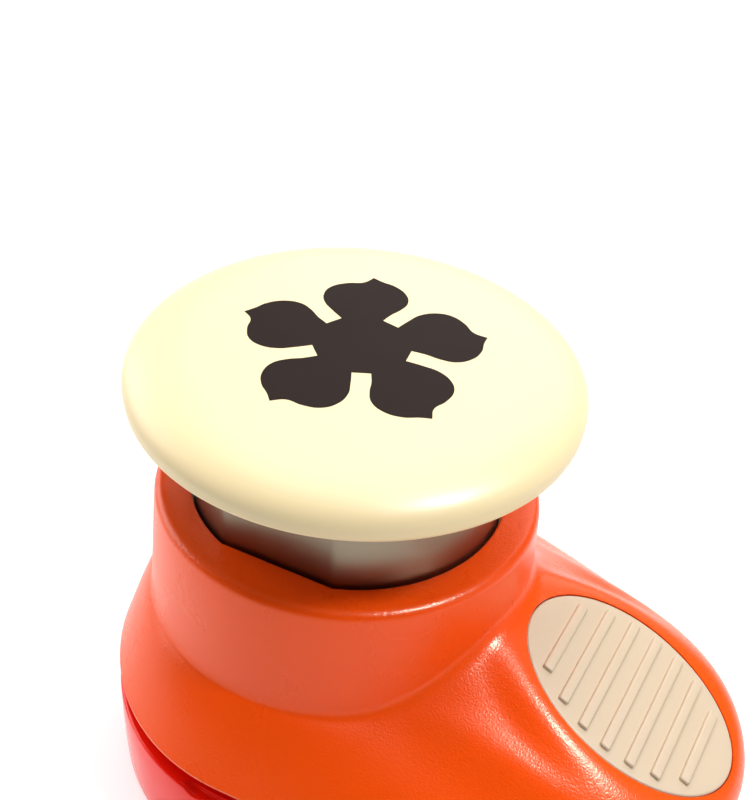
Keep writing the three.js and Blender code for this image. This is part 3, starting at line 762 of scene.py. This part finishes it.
# ---- Thumb pad ----
# An oval of soft cream plastic pressed into the slope of the tail by two pegs. Seven moulded ribs
# lie across it for grip, shorter towards both ends.
PAD_ROUND = 0.3
pad_rings = [slope_pole(-PAD_THICK), oval_ring(0, -PAD_THICK)]
for step in range(0, 6):
    turn = step / 5 * math.pi / 2
    pad_rings.append(oval_ring(-PAD_ROUND * (1 - math.cos(turn)), -PAD_ROUND * (1 - math.sin(turn))))
pad_rings += [oval_ring(-1.2, 0), oval_ring(-4, 0), slope_pole(0)]
pad = drawn_up("ribbed_pad", pad_rings, 128)
carve(pad, [peg(u, PEG_R, PAD_THICK + PEG_LENGTH) for u in PAD_PEGS], "UNION")
RIB_PITCH = 3.16
RIB_HALF_WIDTH = 0.62
RIB_HEIGHT = 0.5
RIB_ROOT = 0.4
RIB_BEVEL = 0.28
RIB_REACH = 9.2
RIB_OVAL = 12
for number in range(7):
    u = (number - 3) * RIB_PITCH
    half = RIB_REACH * math.sqrt(1 - (u / RIB_OVAL) ** 2)
    rib = slab((-RIB_HALF_WIDTH, -half, -RIB_ROOT), (RIB_HALF_WIDTH, half, RIB_HEIGHT))
    only(rib)
    bpy.ops.object.transform_apply(location=True, rotation=True, scale=True)
    bpy.ops.object.mode_set(mode="EDIT")
    bpy.ops.mesh.select_all(action="SELECT")
    bpy.ops.mesh.bevel(offset=RIB_BEVEL * mm, segments=4, affect="EDGES")
    bpy.ops.object.mode_set(mode="OBJECT")
    for vertex in rib.data.vertices:
        across, along, out = (vertex.co - place(0, 0, 0)) / mm
        vertex.co = place(*on_slope(u + across, along, out))
    carve(pad, [rib], "UNION")
pad_plastic = moulded("pad_plastic", (0.56, 0.44, 0.31), roughness=0.5, wear=0.1, cells=4200,
                      depth=0.25, IOR=1.46)
complete(pad, pad_plastic, "frame", ["thumb_pad"], 40)

# ---- Plunger ----
# A sleeve of drawn steel with a satin finish and a flat on each long side, which keeps it from
# turning in the collar. A flange at its foot stops under the collar's lip.
plunger_low, plunger_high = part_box("plunger")
PLUNGER_TOP = plunger_high.z / mm
FLANGE_Z = plunger_low.z / mm
flange_r = (plunger_high.x - plunger_low.x) / 2 / mm
FLANGE_THICK = 2.3
PLUNGER_BORE = 14.8
PLUNGER_ROUND = 0.4
PLATE_THICK = 3
plunger_rings = [pole(PLUNGER_TOP)]
for step in range(0, 5):
    turn = step / 4 * math.pi / 2
    shrink = PLUNGER_ROUND * (1 - math.sin(turn))
    z = PLUNGER_TOP - PLUNGER_ROUND * (1 - math.cos(turn))
    plunger_rings.append(flatted_ring(PLUNGER_R - shrink, PLUNGER_FLAT - shrink, z))
plunger_rings += [flatted_ring(PLUNGER_R, PLUNGER_FLAT, z) for z in (46, 41, FLANGE_Z + FLANGE_THICK)]
plunger_rings += [circle_ring(flange_r, FLANGE_Z + FLANGE_THICK), circle_ring(flange_r, FLANGE_Z),
                  circle_ring(PLUNGER_BORE, FLANGE_Z), circle_ring(PLUNGER_BORE, PLUNGER_TOP - PLATE_THICK),
                  pole(PLUNGER_TOP - PLATE_THICK)]
sleeve = drawn_up("plunger_sleeve", plunger_rings)
holes = []
for node in ("button_screw_1", "button_screw_2", "button_screw_3", "punch_screw_1", "punch_screw_2"):
    low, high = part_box(node)
    x = ((low.x + high.x) / 2 - axis_x) / mm
    y = (low.y + high.y) / 2 / mm
    holes.append(rod(x, y, PLUNGER_TOP - PLATE_THICK - 1, PLUNGER_TOP + 1, SCREW_HOLE_R))
carve(sleeve, holes)
satin_steel = metal("satin_steel", (0.25, 0.215, 0.155), roughness=0.34, streaks=2600,
                    across=(1, 1, 0.02), depth=0.004, unevenness=0.05)
complete(sleeve, satin_steel, "press", ["plunger"])

# ---- Button ----
# A wide domed cap moulded in cream plastic, with a rolled edge and a socket below that drops
# over the plunger, held by three screws from inside.
BUTTON_R = (button_high.x - button_low.x) / 2 / mm
BUTTON_Z = button_low.z / mm
TOP_Z = button_high.z / mm
DOME_R = 16.9
DOME_DROP = 0.5
WAIST_Z = BUTTON_Z + 1.65
BUTTON_SKIN = 2.7
SCREW_POST_R = 3


def dome(r):
    """Height of the button's crown at a distance from the axis."""
    return TOP_Z - DOME_DROP * (r / DOME_R) ** 2


# The section of the cap: crown, rolled edge, the hollow below and the socket for the plunger.
cap_rings = [pole(TOP_Z)]
cap_rings += [circle_ring(DOME_R * share, dome(DOME_R * share)) for share in (0.12, 0.3, 0.5, 0.7, 0.88)]
CAP_STEPS = 22
for step in range(CAP_STEPS + 1):
    turn = step / CAP_STEPS * math.pi / 2
    cap_rings.append(circle_ring(DOME_R + (BUTTON_R - DOME_R) * math.sin(turn),
                                 mix(WAIST_Z, TOP_Z - DOME_DROP, math.cos(turn))))
LIP_ROUND = 0.75
cap_rings.append(circle_ring(BUTTON_R - 0.05, BUTTON_Z + 1.2))
for step in range(0, 7):
    turn = step / 6 * math.pi / 2
    cap_rings.append(circle_ring(BUTTON_R - 0.1 - LIP_ROUND * (1 - math.cos(turn)),
                                 BUTTON_Z + LIP_ROUND * (1 - math.sin(turn))))
SOCKET_R = PLUNGER_R + GAP
ceiling = TOP_Z - BUTTON_SKIN
cap_rings += [circle_ring(r, z) for r, z in (
    (BUTTON_R - 1.6, BUTTON_Z), (23.15, BUTTON_Z + 0.2), (22.9, BUTTON_Z + 1.7),
    (22.5, BUTTON_Z + 2.3), (21.8, BUTTON_Z + 2.5),
    (SOCKET_R + 1.8, BUTTON_Z + 2.7), (SOCKET_R + 1.6, BUTTON_Z + 2.5), (SOCKET_R + 1.4, BUTTON_Z + 0.4),
    (SOCKET_R + 1.3, BUTTON_Z + 0.3), (SOCKET_R + 0.1, BUTTON_Z + 0.3), (SOCKET_R, BUTTON_Z + 0.4),
    (SOCKET_R, ceiling))]
cap_rings.append(pole(ceiling))
cap = drawn_up("button_dome", cap_rings, 192)
screw_places = []
for number in (1, 2, 3):
    low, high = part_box(f"button_screw_{number}")
    x = ((low.x + high.x) / 2 - axis_x) / mm
    screw_places.append((x, (low.y + high.y) / 2 / mm, high.z / mm))
carve(cap, [rod(x, y, PLUNGER_TOP + GAP, ceiling + 0.5, SCREW_POST_R) for x, y, _ in screw_places], "UNION")
carve(cap, [rod(x, y, PLUNGER_TOP, tip + GAP, SCREW_HOLE_R) for x, y, tip in screw_places])
cream_plastic = moulded("cream_plastic", (0.8, 0.65, 0.375), roughness=0.38, wear=0.08, cells=2600,
                        depth=0.06, shade=0.03, IOR=1.4)
complete(cap, cream_plastic, "press", ["button_cap"])

# ---- Printed flower ----
# A five-petalled flower pad-printed in dark brown ink on the button, at the size that it cuts.
# Each petal ends in a small point that leans to one side.
PETALS = 5
FIRST_TIP = 111.67
PRINT_SHIFT = Vector((0.19, 0.27, 0))
INK = 0.03
# One petal from neck to neck: distance from the flower's middle, and degrees from the petal's tip.
NECK_A, TIP, NECK_B = (5.3, -20), (13.95, 0), (5.3, 30)
SIDE_A = [(6.9, -22.3), (8.4, -25.1), (10.1, -24.8), (11.7, -19.4), (12.8, -11.5), (13.3, -4.6)]
SIDE_B = [(12.72, 4.6), (12.5, 13), (11.95, 22.2), (10.75, 28.6), (9, 32.6), (7.2, 32.3)]
flower_curve = bpy.data.curves.new("flower_line", "CURVE")
flower_curve.dimensions = "2D"
flower_curve.fill_mode = "BOTH"
flower_curve.extrude = 2 * mm
flower_curve.resolution_u = 6
line = flower_curve.splines.new("BEZIER")
petal = [NECK_A, *SIDE_A, TIP, *SIDE_B, NECK_B]
line.bezier_points.add(len(petal) * PETALS - 1)
line.use_cyclic_u = True
for index, knot in enumerate(line.bezier_points):
    number, step = divmod(index, len(petal))
    r, degrees = petal[step]
    turn = math.radians(FIRST_TIP + degrees + number * 360 / PETALS)
    knot.co = Vector((r * math.cos(turn), r * math.sin(turn), 0)) * mm
    sharp = petal[step] in (NECK_A, TIP, NECK_B)
    knot.handle_left_type = knot.handle_right_type = "VECTOR" if sharp else "AUTO"
flower = bpy.data.objects.new("flower_block", flower_curve)
scene.collection.objects.link(flower)
flower.location = place(*PRINT_SHIFT.xy, TOP_Z)
only(flower)
bpy.ops.object.convert(target="MESH")
flower = bpy.context.object
bpy.ops.object.mode_set(mode="EDIT")
bpy.ops.mesh.select_all(action="SELECT")
bpy.ops.mesh.remove_doubles(threshold=0.001 * mm)
bpy.ops.mesh.normals_make_consistent(inside=False)
bpy.ops.object.mode_set(mode="OBJECT")
print_rs = [1, 3, 5, 7, 9, 11, 13, 15]
print_rings = [pole(dome(0) + INK)] + [circle_ring(r, dome(r) + INK) for r in print_rs]
print_rings += [circle_ring(r, dome(r) - INK) for r in reversed(print_rs)] + [pole(dome(0) - INK)]
printed = drawn_up("printed_flower", print_rings, 96)
carve(printed, [flower], "INTERSECT")
ink = moulded("brown_ink", (0.02, 0.0125, 0.0105), roughness=0.5, wear=0.1, cells=5200, depth=0.08,
              shade=0.1, IOR=1.13)
complete(printed, ink, "press", [], 30)
